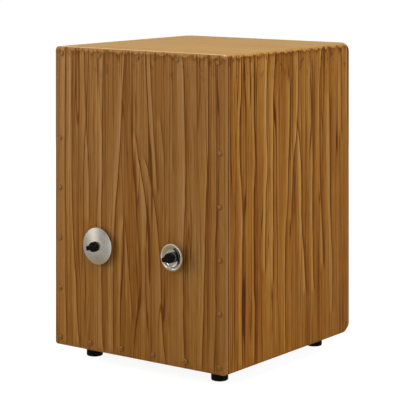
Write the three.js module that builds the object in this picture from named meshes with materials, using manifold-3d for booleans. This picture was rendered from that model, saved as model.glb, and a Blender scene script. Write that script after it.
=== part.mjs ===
// A cajon: a wooden box drum with a screwed-on front plate (the tapa), a sound hole in the back,
// snare wires inside and two metal discs on the tapa, each held on a stud by a wing nut.
// Millimetres. +Z is up, -Y is the front, +X is the right-hand side seen from the front.
// The origin is on the floor, below the middle of the overall bounding box.

import * as THREE from "three";
import { mergeVertices } from "three/addons/utils/BufferGeometryUtils.js";
import Module from "manifold-3d";

const wasm = await Module();
wasm.setup();

// ---- Driving dimensions ----

const BODY = { width: 314, depth: 334, height: 446 };
const PANEL = 15; // top, bottom and side panels
const BACK_PANEL = 6;
const TAPA = 3;
const FRONT_FRAME = { thickness: 4, width: 20 };
const EDGE_RADIUS = { top: 6, bottom: 4, rear: 10 };
const GLUE_GAP = 0.15;
const SOUND_HOLE = { radius: 57.5, heightShare: 0.56 };
const CORNER_BLOCK = { leg: 16, clearance: 0.5 };

const FOOT = { radius: 12.5, height: 20, edge: 2.5, insetX: 41, insetY: 43 };
const FOOT_RECESS = { radius: 5.5, depth: 8 };
const FOOT_SCREW = { radius: 2, length: 22, headRadius: 4, headHeight: 2.6 };

const PAN_HEAD = { flatShare: 0.62, edgeShare: 0.4 }; // of a screw head's radius and height
const TAPA_SCREW = { radius: 1.5, length: 16, headRadius: 3.3, headHeight: 2.2 };
const SCREW_GAP = 0.3; // all round a shank in its hole
const TOP_ROW = { count: 5, inset: 12.5, fromEdge: 11 };
const BOTTOM_ROW = { count: 6, inset: 10, fromEdge: 11 };
const SIDE_COLUMN = { count: 4, first: 137, spacing: 74.75, fromEdge: 9.5 }; // first: below the top edge

const DISC_SPREAD = 70; // each disc's stud from the middle of the tapa
const DISC_HEIGHT = 156.5; // above the bottom edge of the tapa
const STUD = { radius: 3, headRadius: 8, headHeight: 3, endGap: 0.5 }; // endGap: inside the wing nut
const BORE_RADIUS = 3.4; // in everything that slides over a stud
const LOCK_NUT = { acrossFlats: 10, height: 3 };
const FELT = { radius: 8, height: 4 };
const SHEET = 1.2; // thickness of the metal discs
const LOOSE = 0.3; // play between the stacked pieces on a stud
const WASHER = { radius: 7, height: 1 };
const LARGE_DISC = { radius: 27, flatRadius: 8, rimStandOff: 6, fullness: 0.8 };
const SMALL_DISC = { radius: 19.6, flatRadius: 8.5, lip: 3.5, rise: 2.5 };
const SMALL_DISC_LIP = { crest: 0.4, front: 0.6, back: 0.25 }; // shares of the lip and of the rise
const WING_NUT = { hubRadius: 7.5, hubTopRadius: 6.6, hubHeight: 8, crown: 0.8, cap: 2 };
const WING = { rootShare: 0.5, lift: 2, span: 11.4, thickness: 6, tipRadius: 2.4, tipHeight: 7 };
const WING_ANGLE = { large: 15, small: 20 }; // degrees, the wings' tilt from level

const SNARE_BAR = { height: 26, depth: 18, behindTapa: 17, belowTop: 116 };
const SNARE = { wires: 10, spacing: 5.5, wireRadius: 0.8, length: 84, offset: 47, splay: 8 };
const SNARE_PLATE = { height: 11, thickness: 1.2, margin: 3.5 };
const PLATE_DROP = SNARE_PLATE.height / 4; // the screw, below the middle of its plate
const WIRE_GAP = 1.2; // from the wires' free ends to the tapa
const SNARE_SCREW = { radius: 1.5, length: 12, headRadius: 3.2, headHeight: 1.8 };
const DAMPER = { width: 22, height: 16, tapaGap: 0.5 };

// Segments in circles of each size.
const ROUND = 40;
const MEDIUM_ROUND = 32;
const SMALL_ROUND = 16;
const SCREW_ROUND = 12;
const DRILL_ROUND = 8;
const WIRE_ROUND = 6;
const CUT_OVERLAP = 1; // how far a cutting tool runs past the surface it cuts

// ---- Places worked out from the driving dimensions ----

const WASHER_TOP = LOCK_NUT.height + FELT.height + LOOSE + SHEET + LOOSE + WASHER.height;
const NUT_BASE = WASHER_TOP + LOOSE;
const NUT_REACH = NUT_BASE + WING.tipHeight + WING.tipRadius; // the frontmost point, from the tapa
const BACK_Y = (BODY.depth + NUT_REACH) / 2;
const FRONT_Y = BACK_Y - BODY.depth;
const FRAME_Y = FRONT_Y + TAPA;
const SHELL_Y = FRAME_Y + FRONT_FRAME.thickness;
const REAR_Y = BACK_Y - BACK_PANEL;
const RIGHT_X = BODY.width / 2;
const INNER_X = RIGHT_X - PANEL;
const BOTTOM_Z = FOOT.height;
const TOP_Z = BOTTOM_Z + BODY.height;
const INNER_TOP_Z = TOP_Z - PANEL;
const INNER_BOTTOM_Z = BOTTOM_Z + PANEL;
const BAR_Z = TOP_Z - SNARE_BAR.belowTop;
const BAR_FRONT_Y = FRAME_Y + SNARE_BAR.behindTapa;

// ---- Materials ----

const paint = (color, roughness, metalness = 0) =>
  new THREE.MeshStandardMaterial({ color, roughness, metalness });

const MATERIALS = {
  frontVeneer: paint(0x895f34, 0.45),
  sideVeneer: paint(0x916230, 0.45),
  topVeneer: paint(0xbd9768, 0.45),
  innerPly: paint(0xc7a878, 0.8),
  rubber: paint(0x0d0a06, 0.7),
  screwSteel: paint(0x8f8778, 0.4, 1),
  zincSteel: paint(0xb8bac0, 0.35, 1),
  satinNickel: paint(0xb5b2ab, 0.3, 1),
  chrome: paint(0xdcdcdc, 0.06, 1),
  blackNut: paint(0x0a0a0b, 0.35),
  felt: paint(0x2a2724, 1),
  foam: paint(0x3a3a3d, 1),
  snareSteel: paint(0xc9cbd0, 0.3, 1),
};

// ---- Joining and cutting solids ----

function solidFrom(geometry) {
  const bare = geometry.clone();
  bare.deleteAttribute("normal");
  bare.deleteAttribute("uv");
  const merged = mergeVertices(bare, 1e-4);
  return new wasm.Manifold(
    new wasm.Mesh({
      numProp: 3,
      vertProperties: merged.attributes.position.array,
      triVerts: new Uint32Array(merged.index.array),
    }),
  );
}

function geometryFrom(solid) {
  const mesh = solid.getMesh();
  const geometry = new THREE.BufferGeometry();
  geometry.setAttribute("position", new THREE.BufferAttribute(mesh.vertProperties, 3));
  geometry.setIndex(new THREE.BufferAttribute(mesh.triVerts, 1));
  return geometry;
}

function block(x0, x1, y0, y1, z0, z1) {
  const geometry = new THREE.BoxGeometry(x1 - x0, y1 - y0, z1 - z0);
  geometry.translate((x0 + x1) / 2, (y0 + y1) / 2, (z0 + z1) / 2);
  return solidFrom(geometry);
}

// A cylinder along Y from y0 to y1, centred on x and z.
function rodAlongY(x, z, radius, y0, y1, segments = SMALL_ROUND) {
  const geometry = new THREE.CylinderGeometry(radius, radius, y1 - y0, segments);
  geometry.translate(x, (y0 + y1) / 2, z);
  return solidFrom(geometry);
}

// A shape drawn in X and Z, extruded along Y from y0 to y1.
function prismAlongY(shape, y0, y1, curveSegments = 5) {
  const geometry = new THREE.ExtrudeGeometry(shape, {
    depth: y1 - y0,
    bevelEnabled: false,
    curveSegments,
  });
  geometry.rotateX(Math.PI / 2);
  geometry.translate(0, y1, 0);
  return solidFrom(geometry);
}

// Revolves [radius, y] points about the Y axis. They run anticlockwise, with the radius to the right.
function turned(points, segments = ROUND) {
  const profile = points.map(([radius, y]) => new THREE.Vector2(radius, y));
  return solidFrom(new THREE.LatheGeometry(profile, segments));
}

// ---- The box ----

// A rectangle with its own radius at each corner, drawn anticlockwise from the bottom left.
function roundedRectangle(left, right, low, high, radii) {
  const shape = new THREE.Shape();
  const { bottomLeft, bottomRight, topRight, topLeft } = radii;
  shape.moveTo(left + bottomLeft, low);
  shape.lineTo(right - bottomRight, low);
  if (bottomRight) {
    shape.absarc(right - bottomRight, low + bottomRight, bottomRight, -Math.PI / 2, 0);
  }
  shape.lineTo(right, high - topRight);
  if (topRight) shape.absarc(right - topRight, high - topRight, topRight, 0, Math.PI / 2);
  shape.lineTo(left + topLeft, high);
  if (topLeft) shape.absarc(left + topLeft, high - topLeft, topLeft, Math.PI / 2, Math.PI);
  shape.lineTo(left, low + bottomLeft);
  if (bottomLeft) {
    shape.absarc(left + bottomLeft, low + bottomLeft, bottomLeft, Math.PI, Math.PI * 1.5);
  }
  return shape;
}

// The whole box as one solid: the long edges and all the rear edges are rounded.
function outerEnvelope() {
  const { top, bottom, rear } = EDGE_RADIUS;
  const front = roundedRectangle(-RIGHT_X, RIGHT_X, BOTTOM_Z, TOP_Z, {
    bottomLeft: bottom,
    bottomRight: bottom,
    topRight: top,
    topLeft: top,
  });
  const seenFromSide = roundedRectangle(FRONT_Y, BACK_Y, BOTTOM_Z, TOP_Z, {
    bottomLeft: 0,
    bottomRight: rear,
    topRight: rear,
    topLeft: 0,
  });
  const seenFromTop = roundedRectangle(-RIGHT_X, RIGHT_X, FRONT_Y, BACK_Y, {
    bottomLeft: 0,
    bottomRight: 0,
    topRight: rear,
    topLeft: rear,
  });

  const alongX = new THREE.ExtrudeGeometry(seenFromSide, {
    depth: BODY.width,
    bevelEnabled: false,
    curveSegments: 6,
  });
  alongX.rotateX(Math.PI / 2); // the shape's Y becomes Z, and its depth runs along -Y
  alongX.rotateZ(Math.PI / 2); // the shape's X becomes Y, and its depth runs along +X
  alongX.translate(-RIGHT_X, 0, 0);

  const alongZ = new THREE.ExtrudeGeometry(seenFromTop, {
    depth: BODY.height,
    bevelEnabled: false,
    curveSegments: 6,
  });
  alongZ.translate(0, 0, BOTTOM_Z);

  return prismAlongY(front, FRONT_Y, BACK_Y)
    .intersect(solidFrom(alongX))
    .intersect(solidFrom(alongZ));
}

// The tapa screws' places, as [x, z].
function tapaScrewPlaces() {
  const places = [];
  const row = ({ count, inset }, z) => {
    const spacing = (BODY.width - 2 * inset) / (count - 1);
    for (let i = 0; i < count; i++) places.push([-RIGHT_X + inset + i * spacing, z]);
  };
  row(TOP_ROW, TOP_Z - TOP_ROW.fromEdge);
  row(BOTTOM_ROW, BOTTOM_Z + BOTTOM_ROW.fromEdge);
  for (const side of [-1, 1]) {
    for (let i = 0; i < SIDE_COLUMN.count; i++) {
      const z = TOP_Z - SIDE_COLUMN.first - i * SIDE_COLUMN.spacing;
      places.push([side * (RIGHT_X - SIDE_COLUMN.fromEdge), z]);
    }
  }
  return places;
}

const SCREW_PLACES = tapaScrewPlaces();
const FOOT_PLACES = [
  ["front_left", -1, FRONT_Y + FOOT.insetY],
  ["front_right", 1, FRONT_Y + FOOT.insetY],
  ["rear_left", -1, BACK_Y - FOOT.insetY],
  ["rear_right", 1, BACK_Y - FOOT.insetY],
].map(([place, side, y]) => ({ place, x: side * (RIGHT_X - FOOT.insetX), y }));
const STUD_X = { large: -DISC_SPREAD, small: DISC_SPREAD };
const STUD_Z = BOTTOM_Z + DISC_HEIGHT;

// Cuts a clearance hole for each tapa screw that passes through the piece.
function drillForTapaScrews(solid) {
  const radius = TAPA_SCREW.radius + SCREW_GAP;
  const low = solid.boundingBox().min;
  const high = solid.boundingBox().max;
  let drilled = solid;
  for (const [x, z] of SCREW_PLACES) {
    const misses =
      x < low[0] - radius || x > high[0] + radius || z < low[2] - radius || z > high[2] + radius;
    if (misses) continue;
    const end = FRONT_Y + TAPA_SCREW.length + SCREW_GAP;
    drilled = drilled.subtract(rodAlongY(x, z, radius, FRONT_Y - CUT_OVERLAP, end, DRILL_ROUND));
  }
  return drilled;
}

// The four panels of the shell are mitred along their long edges. Their outlines are in X and Z.
function mitredPanel(envelope, outerLeft, outerRight, innerRight, innerLeft) {
  const outline = new THREE.Shape([outerLeft, outerRight, innerRight, innerLeft]);
  const sheet = block(-RIGHT_X, RIGHT_X, SHELL_Y, REAR_Y, BOTTOM_Z, TOP_Z);
  return prismAlongY(outline, SHELL_Y, REAR_Y).intersect(envelope).intersect(sheet);
}

function bottomPanel(envelope) {
  const x = RIGHT_X - GLUE_GAP;
  const innerX = INNER_X - GLUE_GAP;
  let panel = mitredPanel(
    envelope,
    new THREE.Vector2(-x, BOTTOM_Z),
    new THREE.Vector2(x, BOTTOM_Z),
    new THREE.Vector2(innerX, INNER_BOTTOM_Z),
    new THREE.Vector2(-innerX, INNER_BOTTOM_Z),
  );
  const pilotRadius = FOOT_SCREW.radius + SCREW_GAP;
  const pilotDepth = FOOT_SCREW.length - (FOOT.height - FOOT_RECESS.depth) + SCREW_GAP;
  for (const { x: footX, y } of FOOT_PLACES) {
    const pilot = new THREE.CylinderGeometry(
      pilotRadius,
      pilotRadius,
      pilotDepth + CUT_OVERLAP,
      SMALL_ROUND,
    );
    pilot.rotateX(Math.PI / 2);
    pilot.translate(footX, y, BOTTOM_Z + (pilotDepth - CUT_OVERLAP) / 2);
    panel = panel.subtract(solidFrom(pilot));
  }
  return drillForTapaScrews(panel);
}

function topPanel(envelope) {
  const x = RIGHT_X - GLUE_GAP;
  const innerX = INNER_X - GLUE_GAP;
  return drillForTapaScrews(
    mitredPanel(
      envelope,
      new THREE.Vector2(-innerX, INNER_TOP_Z),
      new THREE.Vector2(innerX, INNER_TOP_Z),
      new THREE.Vector2(x, TOP_Z),
      new THREE.Vector2(-x, TOP_Z),
    ),
  );
}

function sidePanel(envelope, side) {
  const corners = [
    new THREE.Vector2(side * RIGHT_X, BOTTOM_Z),
    new THREE.Vector2(side * RIGHT_X, TOP_Z),
    new THREE.Vector2(side * INNER_X, INNER_TOP_Z),
    new THREE.Vector2(side * INNER_X, INNER_BOTTOM_Z),
  ];
  return drillForTapaScrews(mitredPanel(envelope, ...corners));
}

function backPanel(envelope) {
  const sheet = block(-RIGHT_X, RIGHT_X, REAR_Y, BACK_Y, BOTTOM_Z, TOP_Z);
  const holeZ = BOTTOM_Z + BODY.height * SOUND_HOLE.heightShare;
  const hole = rodAlongY(
    0,
    holeZ,
    SOUND_HOLE.radius,
    REAR_Y - CUT_OVERLAP,
    BACK_Y + CUT_OVERLAP,
    ROUND,
  );
  return envelope.intersect(sheet).subtract(hole);
}

function tapa(envelope) {
  const sheet = block(-RIGHT_X, RIGHT_X, FRONT_Y, FRAME_Y, BOTTOM_Z, TOP_Z);
  let plate = envelope.intersect(sheet);
  for (const x of Object.values(STUD_X)) {
    const hole = rodAlongY(x, STUD_Z, BORE_RADIUS, FRONT_Y - CUT_OVERLAP, FRAME_Y + CUT_OVERLAP);
    plate = plate.subtract(hole);
  }
  return drillForTapaScrews(plate);
}

// The front frame's pieces, as [name, x0, x1, z0, z1]. The stiles stand between the rails.
function frontFramePieces() {
  const { width } = FRONT_FRAME;
  const railTop = BOTTOM_Z + width;
  const railBottom = TOP_Z - width;
  return [
    ["front_frame_top_rail", -RIGHT_X, RIGHT_X, railBottom, TOP_Z],
    ["front_frame_bottom_rail", -RIGHT_X, RIGHT_X, BOTTOM_Z, railTop],
    ["front_frame_left_stile", -RIGHT_X, -RIGHT_X + width, railTop, railBottom],
    ["front_frame_right_stile", RIGHT_X - width, RIGHT_X, railTop, railBottom],
  ];
}

// A triangular glue block that fills one long inner corner of the shell.
function cornerBlock(side, end) {
  const x = side * INNER_X;
  const z = end > 0 ? INNER_TOP_Z : INNER_BOTTOM_Z;
  const outline = new THREE.Shape([
    new THREE.Vector2(x, z),
    new THREE.Vector2(x - side * CORNER_BLOCK.leg, z),
    new THREE.Vector2(x, z - end * CORNER_BLOCK.leg),
  ]);
  return prismAlongY(
    outline,
    SHELL_Y + CORNER_BLOCK.clearance,
    REAR_Y - CORNER_BLOCK.clearance,
  );
}

// ---- Fasteners and feet ----

// A pan-head wood screw along Y, with the head in front of y = 0 and the shank behind it.
function panHeadScrew({ radius, length, headRadius, headHeight }) {
  return turned(
    [
      [0, -headHeight],
      [headRadius * PAN_HEAD.flatShare, -headHeight],
      [headRadius, -headHeight * PAN_HEAD.edgeShare],
      [headRadius, 0],
      [radius, 0],
      [radius, length - 2 * radius],
      [0, length],
    ],
    SCREW_ROUND,
  );
}

// A rubber foot with its top at z = 0, a rounded lower edge and a recess for its screw.
function rubberFoot() {
  const { radius, height, edge } = FOOT;
  const arc = [0, 1, 2, 3].map((i) => {
    const angle = (-Math.PI / 2) * (1 - i / 3);
    return [radius - edge + edge * Math.cos(angle), -height + edge + edge * Math.sin(angle)];
  });
  const profile = [
    [FOOT_RECESS.radius, -height],
    ...arc,
    [radius, 0],
    [FOOT_SCREW.radius + SCREW_GAP, 0],
    [FOOT_SCREW.radius + SCREW_GAP, -height + FOOT_RECESS.depth],
    [FOOT_RECESS.radius, -height + FOOT_RECESS.depth],
    [FOOT_RECESS.radius, -height],
  ];
  return turned(profile, MEDIUM_ROUND);
}

// ---- The discs' hardware: each piece is on the stud's axis, with the tapa's face at y = 0 ----

function stud() {
  const { radius, headRadius, headHeight, endGap } = STUD;
  const reach = NUT_BASE + WING_NUT.hubHeight - WING_NUT.cap - endGap;
  const chamfer = 0.6;
  return turned(
    [
      [0, -reach],
      [radius - chamfer, -reach],
      [radius, -reach + chamfer],
      [radius, TAPA],
      [headRadius, TAPA],
      [headRadius, TAPA + headHeight],
      [0, TAPA + headHeight],
    ],
    MEDIUM_ROUND,
  );
}

// A flat ring around the stud, from one stand-off to another in front of the tapa.
function ring(radius, from, to) {
  return turned(
    [
      [BORE_RADIUS, -to],
      [radius, -to],
      [radius, -from],
      [BORE_RADIUS, -from],
      [BORE_RADIUS, -to],
    ],
    MEDIUM_ROUND,
  );
}

function lockNut() {
  const cornerRadius = LOCK_NUT.acrossFlats / Math.sqrt(3);
  const hexagon = rodAlongY(0, 0, cornerRadius, -LOCK_NUT.height, 0, 6);
  return hexagon.subtract(
    rodAlongY(0, 0, BORE_RADIUS, -LOCK_NUT.height - CUT_OVERLAP, CUT_OVERLAP),
  );
}

// The large disc: a shallow dome with a flat middle, clear of the tapa all round.
function largeDisc() {
  const { radius, flatRadius, rimStandOff, fullness } = LARGE_DISC;
  const back = LOCK_NUT.height + FELT.height + LOOSE;
  const curve = (outerRadius, crown) => {
    const points = [];
    const steps = 6;
    for (let i = 0; i <= steps; i++) {
      const angle = (Math.PI / 2) * (i / steps);
      const reach = Math.sin(angle) ** fullness;
      const rise = Math.max(0, Math.cos(angle)) ** fullness;
      points.push([
        flatRadius + (outerRadius - flatRadius) * reach,
        -rimStandOff - (crown - rimStandOff) * rise,
      ]);
    }
    return points;
  };
  return turned([
    [BORE_RADIUS, -back - SHEET],
    ...curve(radius, back + SHEET),
    ...curve(radius - SHEET, back).reverse(),
    [BORE_RADIUS, -back],
    [BORE_RADIUS, -back - SHEET],
  ]);
}

// The small disc: a shallow dish that opens to the front, with a rolled lip.
function smallDisc() {
  const { radius, flatRadius, lip, rise } = SMALL_DISC;
  const back = LOCK_NUT.height + FELT.height + LOOSE;
  const front = back + SHEET;
  const lipStart = radius - lip;
  const { crest, front: lipFront, back: lipBack } = SMALL_DISC_LIP;
  return turned([
    [BORE_RADIUS, -front],
    [flatRadius, -front],
    [lipStart, -front - rise],
    [radius - lip * crest, -front - rise],
    [radius, -front - rise * lipFront],
    [radius, -front - rise * lipBack],
    [radius - SHEET, -front - rise * lipBack],
    [lipStart + SHEET / 2, -back - rise],
    [flatRadius + SHEET / 2, -back],
    [BORE_RADIUS, -back],
    [BORE_RADIUS, -front],
  ]);
}

// A moulded wing nut with its base at y = 0, its wings spread along X and its front end closed.
function wingNut() {
  const { hubRadius, hubTopRadius, hubHeight, crown, cap } = WING_NUT;
  const { rootShare, lift, span, thickness, tipRadius, tipHeight } = WING;
  let nut = turned(
    [
      [0, -hubHeight],
      [hubTopRadius - crown, -hubHeight],
      [hubTopRadius, -hubHeight + crown],
      [hubRadius, 0],
      [0, 0],
    ],
    MEDIUM_ROUND,
  );
  for (const side of [-1, 1]) {
    // Drawn in X and Z and then laid over, so that the outline's second axis points forwards.
    const outline = new THREE.Shape();
    const root = hubRadius * rootShare;
    outline.moveTo(root, lift);
    outline.lineTo(hubRadius, lift);
    outline.quadraticCurveTo(span, lift, span, tipHeight);
    outline.absarc(span - tipRadius, tipHeight, tipRadius, 0, Math.PI * 0.75);
    outline.quadraticCurveTo(hubRadius, hubHeight - crown, root, hubHeight - crown);
    const wing = new THREE.ExtrudeGeometry(outline, {
      depth: thickness,
      bevelEnabled: false,
      curveSegments: 6,
    });
    wing.translate(0, 0, -thickness / 2);
    wing.rotateX(Math.PI);
    if (side < 0) wing.rotateY(Math.PI);
    nut = nut.add(solidFrom(wing));
  }
  const bore = rodAlongY(0, 0, BORE_RADIUS, cap - hubHeight, CUT_OVERLAP);
  return nut.subtract(bore);
}

// ---- The snare inside the box ----

// One set of wires standing on its end plate. The plate's back face is at y = 0, and the wires'
// free ends lean forwards by the given distance.
function snareSet(lean) {
  const { wires, spacing, wireRadius, length } = SNARE;
  const width = (wires - 1) * spacing + 2 * SNARE_PLATE.margin;
  const { height, thickness } = SNARE_PLATE;
  let set = block(-width / 2, width / 2, -thickness, 0, -height / 2, height / 2);
  const run = Math.hypot(length, lean);
  for (let i = 0; i < wires; i++) {
    const wire = new THREE.CylinderGeometry(wireRadius, wireRadius, run, WIRE_ROUND);
    wire.rotateX(Math.PI / 2);
    wire.translate(0, 0, run / 2);
    wire.rotateX(Math.atan2(lean, length));
    wire.translate((i - (wires - 1) / 2) * spacing, -thickness, 0);
    set = set.add(solidFrom(wire));
  }
  const hole = SNARE_SCREW.radius + SCREW_GAP;
  const front = -thickness - lean;
  return set.subtract(rodAlongY(0, -PLATE_DROP, hole, front, CUT_OVERLAP, SCREW_ROUND));
}

// ---- Assembly ----

const cajon = new THREE.Group();
const envelope = outerEnvelope();

function addPart(parent, name, solid, material) {
  const mesh = new THREE.Mesh(geometryFrom(solid), material);
  mesh.name = name;
  parent.add(mesh);
  return mesh;
}

function addBox(parent) {
  const { frontVeneer, sideVeneer, topVeneer, innerPly } = MATERIALS;
  addPart(parent, "top_panel", topPanel(envelope), topVeneer);
  addPart(parent, "bottom_panel", bottomPanel(envelope), sideVeneer);
  addPart(parent, "left_side_panel", sidePanel(envelope, -1), sideVeneer);
  addPart(parent, "right_side_panel", sidePanel(envelope, 1), sideVeneer);
  addPart(parent, "back_panel", backPanel(envelope), sideVeneer);
  addPart(parent, "tapa", tapa(envelope), frontVeneer);
  for (const [name, x0, x1, z0, z1] of frontFramePieces()) {
    const piece = block(x0, x1, FRAME_Y, SHELL_Y, z0, z1).intersect(envelope);
    addPart(parent, name, drillForTapaScrews(piece), sideVeneer);
  }
  for (const [sideName, side] of [["left", -1], ["right", 1]]) {
    for (const [endName, end] of [["top", 1], ["bottom", -1]]) {
      const name = `corner_block_${endName}_${sideName}`;
      addPart(parent, name, cornerBlock(side, end), innerPly);
    }
  }
}

function addTapaScrews(parent) {
  const screw = panHeadScrew(TAPA_SCREW);
  SCREW_PLACES.forEach(([x, z], i) => {
    const number = String(i + 1).padStart(2, "0");
    const mesh = addPart(parent, `tapa_screw_${number}`, screw, MATERIALS.screwSteel);
    mesh.position.set(x, FRONT_Y, z);
  });
}

function addFeet(parent) {
  const foot = rubberFoot();
  const screw = panHeadScrew(FOOT_SCREW);
  for (const { place, x, y } of FOOT_PLACES) {
    const group = new THREE.Group();
    group.position.set(x, y, BOTTOM_Z);
    group.rotation.x = Math.PI / 2; // the pieces' own Y axis points up
    addPart(group, `foot_${place}`, foot, MATERIALS.rubber);
    const screwMesh = addPart(group, `foot_screw_${place}`, screw, MATERIALS.zincSteel);
    screwMesh.position.y = -FOOT.height + FOOT_RECESS.depth - SCREW_GAP;
    parent.add(group);
  }
}

function addDiscHardware(parent, size, disc, discMaterial) {
  const group = new THREE.Group();
  group.position.set(STUD_X[size], FRONT_Y, STUD_Z);
  const feltTop = LOCK_NUT.height + FELT.height;
  addPart(group, `${size}_stud`, stud(), MATERIALS.zincSteel);
  addPart(group, `${size}_lock_nut`, lockNut(), MATERIALS.zincSteel);
  addPart(group, `${size}_felt_washer`, ring(FELT.radius, LOCK_NUT.height, feltTop), MATERIALS.felt);
  addPart(group, `${size}_disc`, disc, discMaterial);
  const washer = ring(WASHER.radius, WASHER_TOP - WASHER.height, WASHER_TOP);
  addPart(group, `${size}_steel_washer`, washer, MATERIALS.zincSteel);
  const nut = addPart(group, `${size}_wing_nut`, wingNut(), MATERIALS.blackNut);
  nut.position.y = -NUT_BASE;
  nut.rotation.y = -THREE.MathUtils.degToRad(WING_ANGLE[size]);
  parent.add(group);
}

function addSnare(parent) {
  const { height, depth } = SNARE_BAR;
  const screwHole = SNARE_SCREW.radius + SCREW_GAP;
  const lean = SNARE_BAR.behindTapa - SNARE_PLATE.thickness - SNARE.wireRadius - WIRE_GAP;
  let bar = block(
    -INNER_X,
    INNER_X,
    BAR_FRONT_Y,
    BAR_FRONT_Y + depth,
    BAR_Z - height / 2,
    BAR_Z + height / 2,
  );
  for (const [name, side] of [["left", -1], ["right", 1]]) {
    const group = new THREE.Group();
    const splay = side * THREE.MathUtils.degToRad(SNARE.splay);
    group.position.set(side * SNARE.offset, BAR_FRONT_Y - SCREW_GAP, BAR_Z);
    group.rotation.y = splay;
    addPart(group, `snare_wires_${name}`, snareSet(lean), MATERIALS.snareSteel);
    parent.add(group);

    const screwX = side * SNARE.offset - Math.sin(splay) * PLATE_DROP;
    const screwZ = BAR_Z - Math.cos(splay) * PLATE_DROP;
    const pilotEnd = BAR_FRONT_Y + SNARE_SCREW.length + SCREW_GAP;
    bar = bar.subtract(
      rodAlongY(screwX, screwZ, screwHole, BAR_FRONT_Y - CUT_OVERLAP, pilotEnd, SCREW_ROUND),
    );
    const screw = panHeadScrew(SNARE_SCREW);
    const mesh = addPart(parent, `snare_screw_${name}`, screw, MATERIALS.zincSteel);
    mesh.position.set(screwX, BAR_FRONT_Y - SCREW_GAP - SNARE_PLATE.thickness, screwZ);
  }
  addPart(parent, "snare_bar", bar, MATERIALS.innerPly);
  const damper = block(
    -DAMPER.width / 2,
    DAMPER.width / 2,
    FRAME_Y + DAMPER.tapaGap,
    BAR_FRONT_Y,
    BAR_Z - DAMPER.height / 2,
    BAR_Z + DAMPER.height / 2,
  );
  addPart(parent, "snare_damper", damper, MATERIALS.foam);
}

addBox(cajon);
addTapaScrews(cajon);
addFeet(cajon);
addDiscHardware(cajon, "large", largeDisc(), MATERIALS.satinNickel);
addDiscHardware(cajon, "small", smallDisc(), MATERIALS.chrome);
addSnare(cajon);

export default cajon;
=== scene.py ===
"""The looks of a cajon: fine meshes and procedural materials around its CAD frame, in a white studio.

Shapes are drawn in millimetres in the frame's own axes: +Z up, -Y the front, +X the right-hand side.
Places come from the CAD nodes. Every mesh is made at its place, with its object at the origin.
"""

import math
import random

import bmesh
import bpy
from mathutils import Matrix, Vector


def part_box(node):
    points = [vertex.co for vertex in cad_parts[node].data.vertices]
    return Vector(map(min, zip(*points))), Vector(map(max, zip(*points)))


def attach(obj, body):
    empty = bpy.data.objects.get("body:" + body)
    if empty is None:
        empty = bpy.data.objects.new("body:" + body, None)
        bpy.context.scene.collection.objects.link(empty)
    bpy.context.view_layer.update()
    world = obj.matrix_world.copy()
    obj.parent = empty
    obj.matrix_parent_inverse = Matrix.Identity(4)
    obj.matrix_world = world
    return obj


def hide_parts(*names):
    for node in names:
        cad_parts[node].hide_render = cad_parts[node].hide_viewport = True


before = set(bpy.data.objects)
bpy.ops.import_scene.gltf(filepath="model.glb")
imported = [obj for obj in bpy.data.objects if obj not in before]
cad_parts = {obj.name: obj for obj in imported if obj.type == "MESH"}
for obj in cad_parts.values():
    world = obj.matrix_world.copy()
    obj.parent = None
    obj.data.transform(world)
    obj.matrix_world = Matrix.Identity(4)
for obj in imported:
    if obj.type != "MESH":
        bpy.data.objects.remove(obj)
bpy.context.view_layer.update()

MM = 0.001
ROOT_BODY = "box"


# ---- Places, from the frame ----


def corners(node):
    """A CAD node's lowest and highest corner, in millimetres."""
    low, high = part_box(node)
    return low / MM, high / MM


def middle_of(node):
    """The middle of a CAD node's box, in millimetres."""
    low, high = corners(node)
    return (low + high) / 2


tapa_low, tapa_high = corners("tapa")
side_low = corners("right_side_panel")[0]
back_low, back_high = corners("back_panel")
ceiling = corners("corner_block_top_left")[1].z
floor_inside = corners("corner_block_bottom_left")[0].z

RIGHT_X = tapa_high.x
INNER_X = side_low.x
FRONT_Y = tapa_low.y
FRAME_Y = tapa_high.y
SHELL_Y = side_low.y
REAR_Y = back_low.y
BACK_Y = back_high.y
BOTTOM_Z = tapa_low.z
TOP_Z = tapa_high.z

TOP_RADIUS = 6
BOTTOM_RADIUS = 4
REAR_RADIUS = 10
REAR_CORNER_RADIUS = 13  # of the long edges where they reach the rear
TAPA_EASE = 1.3  # rounding of the front plate's edge
JOINT_EASE = 0.45  # rounding on each side of a glued joint
REAR_JOINT_EASE = 0.35
SOUND_HOLE_RADIUS = 57.5
SOUND_HOLE_SHARE = 0.56  # height of the hole's middle in the box
SOUND_HOLE_EASE = 1.5
STUD_BORE = 3.4  # radius of every hole that an M6 stud passes through
PILOT_RADIUS = 1.7  # of the tapa's screw holes

SCREW_NODES = sorted(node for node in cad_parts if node.startswith("tapa_screw_"))


# ---- Outlines and profiles: lists of (across, up) points ----


def softened(points, radius, closed=True, steps=4):
    """Replaces each corner by a curve that starts and ends at most radius from it."""
    made = []
    count = len(points)
    for i, (px, py) in enumerate(points):
        if not closed and i in (0, count - 1):
            made.append((px, py))
            continue
        corner = Vector((px, py))
        before = Vector(points[i - 1]) - corner
        after = Vector(points[(i + 1) % count]) - corner
        start = corner + before.normalized() * min(radius, before.length * 0.45)
        end = corner + after.normalized() * min(radius, after.length * 0.45)
        for k in range(steps + 1):
            t = k / steps
            made.append(tuple(start * (1 - t) ** 2 + corner * 2 * t * (1 - t) + end * t * t))
    return made


def quarter(steps):
    """Angles from 0 to 90 degrees, in radians."""
    return [math.pi / 2 * k / steps for k in range(steps + 1)]


def arc(centre_x, centre_z, radius, start, end, steps=8):
    """Points of an arc between two angles in degrees."""
    angles = [math.radians(start + (end - start) * k / steps) for k in range(steps + 1)]
    return [(centre_x + radius * math.cos(a), centre_z + radius * math.sin(a)) for a in angles]


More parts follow.
